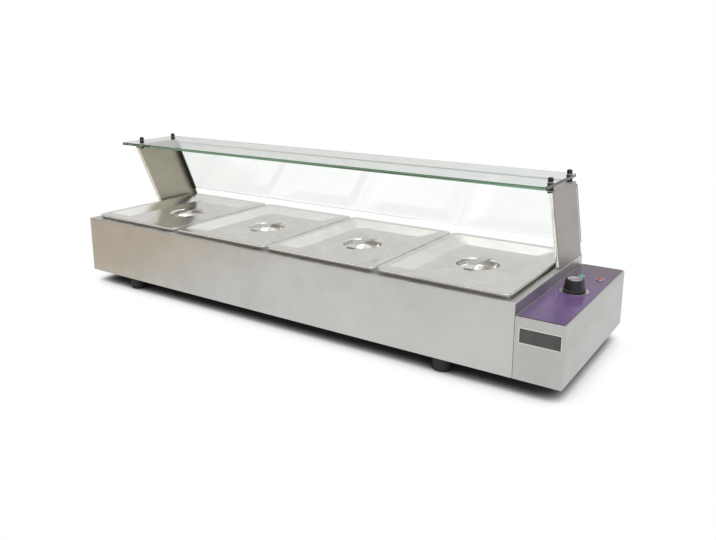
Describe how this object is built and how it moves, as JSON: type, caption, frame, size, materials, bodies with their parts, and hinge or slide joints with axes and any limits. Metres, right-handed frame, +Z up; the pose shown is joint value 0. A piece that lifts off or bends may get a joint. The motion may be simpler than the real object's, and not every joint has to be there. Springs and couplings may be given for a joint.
{
  "type": "bain marie display counter",
  "caption": "Electric countertop bain marie with lidded half-size pans in a wet well, a glass shelf and leaning glass guard on side brackets, and a control box.",
  "frame": {"origin": "on the table, under the middle of the bounding box", "axes": "+X along the counter to the control box, +Y from the serving side to the rear glass, +Z up"},
  "size_m": [1.225, 0.373, 0.3392],
  "materials": {
    "casing_steel": "brushed",
    "tank_steel": "satin",
    "pan_steel": "polished",
    "lid_steel": "polished",
    "handle_steel": "polished",
    "element_steel": "heat tinted",
    "overlay_purple": "satin",
    "black_plastic": "moulded",
    "dial_aluminium": "satin",
    "spindle_steel": "turned",
    "green_lens": "clear lens",
    "red_lens": "clear lens",
    "tap_chrome": "polished",
    "black_rubber": "moulded",
    "clear_glass": "clear with green edges"
  },
  "bodies": {
    "base": {"outer_casing": "casing_steel", "bottom_plate": "casing_steel", "control_box": "casing_steel", "left_bracket": "casing_steel", "right_bracket": "casing_steel", "divider_bar_1": "casing_steel", "divider_bar_2": "casing_steel", "divider_bar_3": "casing_steel", "water_tank": "tank_steel", "tank_floor": "tank_steel", "heating_element": "element_steel", "element_plate": "element_steel", "control_overlay": "overlay_purple", "thermostat": "black_plastic", "cable_gland": "black_plastic", "thermostat_dial": "dial_aluminium", "green_lamp": "green_lens", "red_lamp": "red_lens", "drain_tap": "tap_chrome", "drain_nut": "tap_chrome", "left_pane_trim": "black_rubber", "right_pane_trim": "black_rubber", "left_front_clamp": "black_rubber", "left_rear_clamp": "black_rubber", "right_front_clamp": "black_rubber", "right_rear_clamp": "black_rubber", "foot_front_left": "black_rubber", "foot_front_right": "black_rubber", "foot_rear_left": "black_rubber", "foot_rear_right": "black_rubber", "top_glass": "clear_glass", "rear_glass": "clear_glass"},
    "knob": {"thermostat_knob": "black_plastic", "thermostat_spindle": "spindle_steel"},
    "pan_1": {"gn_pan_1": "pan_steel"},
    "pan_2": {"gn_pan_2": "pan_steel"},
    "pan_3": {"gn_pan_3": "pan_steel"},
    "pan_4": {"gn_pan_4": "pan_steel"},
    "cover_1": {"lid_1": "lid_steel", "lid_handle_1": "handle_steel"},
    "cover_2": {"lid_2": "lid_steel", "lid_handle_2": "handle_steel"},
    "cover_3": {"lid_3": "lid_steel", "lid_handle_3": "handle_steel"},
    "cover_4": {"lid_4": "lid_steel", "lid_handle_4": "handle_steel"},
    "tap_lever": {"drain_lever": "handle_steel"}
  },
  "joints": [
    {"name": "knob_turn", "type": "hinge", "parent": "base", "child": "knob", "pos_m": [0.5705, -0.0145, 0.1384], "axis": [0, 0, -1], "range_deg": [0, 270]},
    {"name": "pan_1_lift", "type": "slide", "parent": "base", "child": "pan_1", "axis": [0, -0.2471, 0.969], "range_m": [0, 0.034]},
    {"name": "pan_2_lift", "type": "slide", "parent": "base", "child": "pan_2", "axis": [0, -0.2471, 0.969], "range_m": [0, 0.034]},
    {"name": "pan_3_lift", "type": "slide", "parent": "base", "child": "pan_3", "axis": [0, -0.2471, 0.969], "range_m": [0, 0.034]},
    {"name": "pan_4_lift", "type": "slide", "parent": "base", "child": "pan_4", "axis": [0, -0.2471, 0.969], "range_m": [0, 0.034]},
    {"name": "lid_1_lift", "type": "slide", "parent": "pan_1", "child": "cover_1", "axis": [0, -0.8, 0.6], "range_m": [0, 0.15]},
    {"name": "lid_2_lift", "type": "slide", "parent": "pan_2", "child": "cover_2", "axis": [0, -0.8, 0.6], "range_m": [0, 0.15]},
    {"name": "lid_3_lift", "type": "slide", "parent": "pan_3", "child": "cover_3", "axis": [0, -0.8, 0.6], "range_m": [0, 0.15]},
    {"name": "lid_4_lift", "type": "slide", "parent": "pan_4", "child": "cover_4", "axis": [0, -0.8, 0.6], "range_m": [0, 0.15]},
    {"name": "tap_lever_turn", "type": "hinge", "parent": "base", "child": "tap_lever", "pos_m": [-0.586, -0.0085, 0.0715], "axis": [0, 0, 1], "range_deg": [0, 90]}
  ]
}
